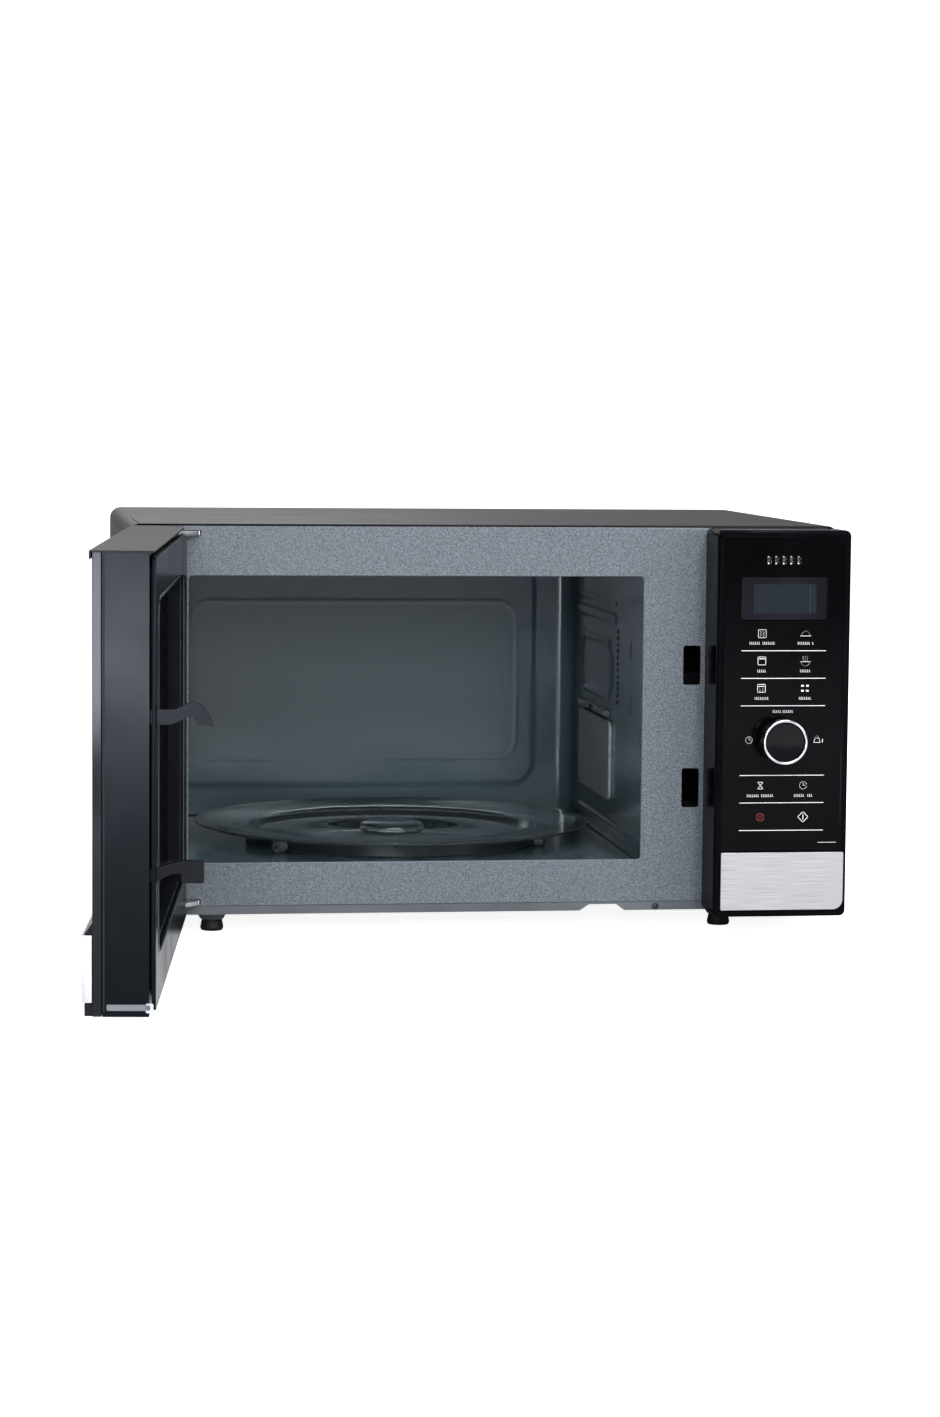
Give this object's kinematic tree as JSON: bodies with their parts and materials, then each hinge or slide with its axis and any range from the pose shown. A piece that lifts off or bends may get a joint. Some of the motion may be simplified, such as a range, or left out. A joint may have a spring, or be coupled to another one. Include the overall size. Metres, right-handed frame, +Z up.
{
  "type": "microwave oven",
  "caption": "Countertop microwave oven with a grill, side-hinged door standing open, glass turntable, dial control panel and silver trim.",
  "frame": {"origin": "on the surface the feet stand on, under the middle of the box round the whole oven with its door open as at rest", "axes": "+X to the right of a person facing the control panel, +Y from the front to the rear, +Z up"},
  "size_m": [0.5302, 0.7504, 0.279],
  "materials": {
    "base_paint": "grey coated sheet",
    "black_plastic": "fine-grained black plastic",
    "brushed": "brushed silver, fine horizontal grain",
    "cavity_enamel": "dark grey enamel, half gloss",
    "chrome": "bright plated ring",
    "circuit_board": "circuit board with components",
    "core_steel": "varnished steel laminations",
    "cover_paint": "satin powder coat, dark brown-black",
    "display": "dark teal display",
    "display_glass": "smoked clear plastic",
    "face_enamel": "speckled blue-grey enamel, satin",
    "gloss_black": "high-gloss black",
    "heater": "oxidised heater tube",
    "key_plastic": "dark grey acetal",
    "lamp_glass": "clear glass bulb",
    "mica": "grey mica sheet",
    "red_plastic": "red plastic",
    "rubber": "matt black rubber",
    "spring_steel": "drawn spring wire",
    "tray_glass": "clear tempered glass",
    "white_plastic": "off-white plastic",
    "windings": "varnished copper wire under tape",
    "window_dark": "dark clear film over a perforated screen",
    "zinc_sheet": "zinc-plated sheet, satin"
  },
  "bodies": {
    "case": {"outer_cover": "cover_paint", "rear_panel": "zinc_sheet", "base_plate": "base_paint", "foot_front_left": "rubber", "foot_front_right": "rubber", "foot_rear_left": "rubber", "foot_rear_right": "rubber", "rear_spacer_left": "black_plastic", "rear_spacer_right": "black_plastic", "cord_gland": "black_plastic", "oven_face_plate": "face_enamel", "cavity_wrapper": "cavity_enamel", "cavity_floor": "cavity_enamel", "cavity_back": "cavity_enamel", "waveguide_cover": "mica", "waveguide_clip": "cavity_enamel", "grill_reflector": "zinc_sheet", "grill_heater": "heater", "oven_lamp": "lamp_glass", "lamp_holder": "white_plastic", "waveguide": "zinc_sheet", "magnetron": "zinc_sheet", "transformer_core": "core_steel", "transformer_windings": "windings", "high_voltage_capacitor": "zinc_sheet", "fan_shroud": "white_plastic", "fan_motor": "core_steel", "noise_filter_board": "circuit_board", "turntable_motor": "zinc_sheet", "latch_body": "white_plastic", "door_switch_upper": "black_plastic", "door_switch_lower": "black_plastic", "control_housing": "gloss_black", "control_sheet": "gloss_black", "display_window": "display_glass", "display_module": "display", "control_board": "circuit_board", "dial_encoder": "zinc_sheet", "trim_plate": "brushed", "hinge_bracket_upper": "zinc_sheet", "hinge_bracket_lower": "zinc_sheet"},
    "door": {"door_front_panel": "gloss_black", "handle_strip": "brushed", "door_frame": "black_plastic", "door_inner_panel": "face_enamel", "door_window_film": "window_dark", "choke_cover": "face_enamel", "door_key_spring": "spring_steel"},
    "door_key": {"door_key": "key_plastic"},
    "dial": {"dial_knob": "gloss_black", "dial_ring": "chrome"},
    "fan": {"fan_blade": "white_plastic"},
    "coupler": {"turntable_coupler": "white_plastic"},
    "tray": {"glass_tray": "tray_glass"},
    "ring": {"roller_ring": "black_plastic"},
    "roller_1": {"roller_1": "white_plastic"},
    "roller_2": {"roller_2": "white_plastic"},
    "roller_3": {"roller_3": "white_plastic"},
    "plunger_upper": {"switch_plunger_upper": "red_plastic"},
    "plunger_lower": {"switch_plunger_lower": "red_plastic"}
  },
  "joints": [
    {"name": "door_hinge", "type": "hinge", "parent": "case", "child": "door", "pos_m": [-0.20352, -0.00106, 0.145], "axis": [0, 0, 1], "range_deg": [0, 95.8]},
    {"name": "door_key_slide", "type": "slide", "parent": "door", "child": "door_key", "axis": [0, 0, 1], "range_m": [0, 0.0022], "stiffness_N_per_m": 400, "springref_m": -0.003, "deforming": ["door_key_spring"]},
    {"name": "dial_turn", "type": "hinge", "parent": "case", "child": "dial", "pos_m": [0.21698, -0.02976, 0.1351], "axis": [0, 1, 0], "continuous": true},
    {"name": "fan_spin", "type": "hinge", "parent": "case", "child": "fan", "pos_m": [0.20108, 0.34524, 0.205], "axis": [0, 1, 0], "continuous": true},
    {"name": "coupler_spin", "type": "hinge", "parent": "case", "child": "coupler", "pos_m": [-0.02667, 0.16639, 0.05], "axis": [0, 0, 1], "continuous": true},
    {"name": "tray_lift", "type": "slide", "parent": "coupler", "child": "tray", "axis": [0, 0, 1], "range_m": [0, 0.06]},
    {"name": "ring_spin", "type": "hinge", "parent": "case", "child": "ring", "pos_m": [-0.02667, 0.16639, 0.048], "axis": [0, 0, 1], "continuous": true},
    {"name": "roller_1_spin", "type": "hinge", "parent": "ring", "child": "roller_1", "pos_m": [-0.11336, 0.09867, 0.0496], "axis": [-0.788, -0.6157, 0], "continuous": true},
    {"name": "roller_2_spin", "type": "hinge", "parent": "ring", "child": "roller_2", "pos_m": [0.07532, 0.12518, 0.0496], "axis": [0.9272, -0.3746, 0], "continuous": true},
    {"name": "roller_3_spin", "type": "hinge", "parent": "ring", "child": "roller_3", "pos_m": [-0.04198, 0.27532, 0.0496], "axis": [-0.1392, 0.9903, 0], "continuous": true},
    {"name": "switch_upper_press", "type": "slide", "parent": "case", "child": "plunger_upper", "axis": [0, 1, 0], "range_m": [0, 0.002], "stiffness_N_per_m": 250, "springref_m": -0.0008},
    {"name": "switch_lower_press", "type": "slide", "parent": "case", "child": "plunger_lower", "axis": [0, 1, 0], "range_m": [0, 0.002], "stiffness_N_per_m": 250, "springref_m": -0.0008}
  ],
  "couplings": [
    {"joint": "ring_spin", "follows": "coupler_spin", "ratio": 0.5},
    {"joint": "roller_1_spin", "follows": "coupler_spin", "ratio": -12.791},
    {"joint": "roller_2_spin", "follows": "coupler_spin", "ratio": -12.791},
    {"joint": "roller_3_spin", "follows": "coupler_spin", "ratio": -12.791}
  ]
}
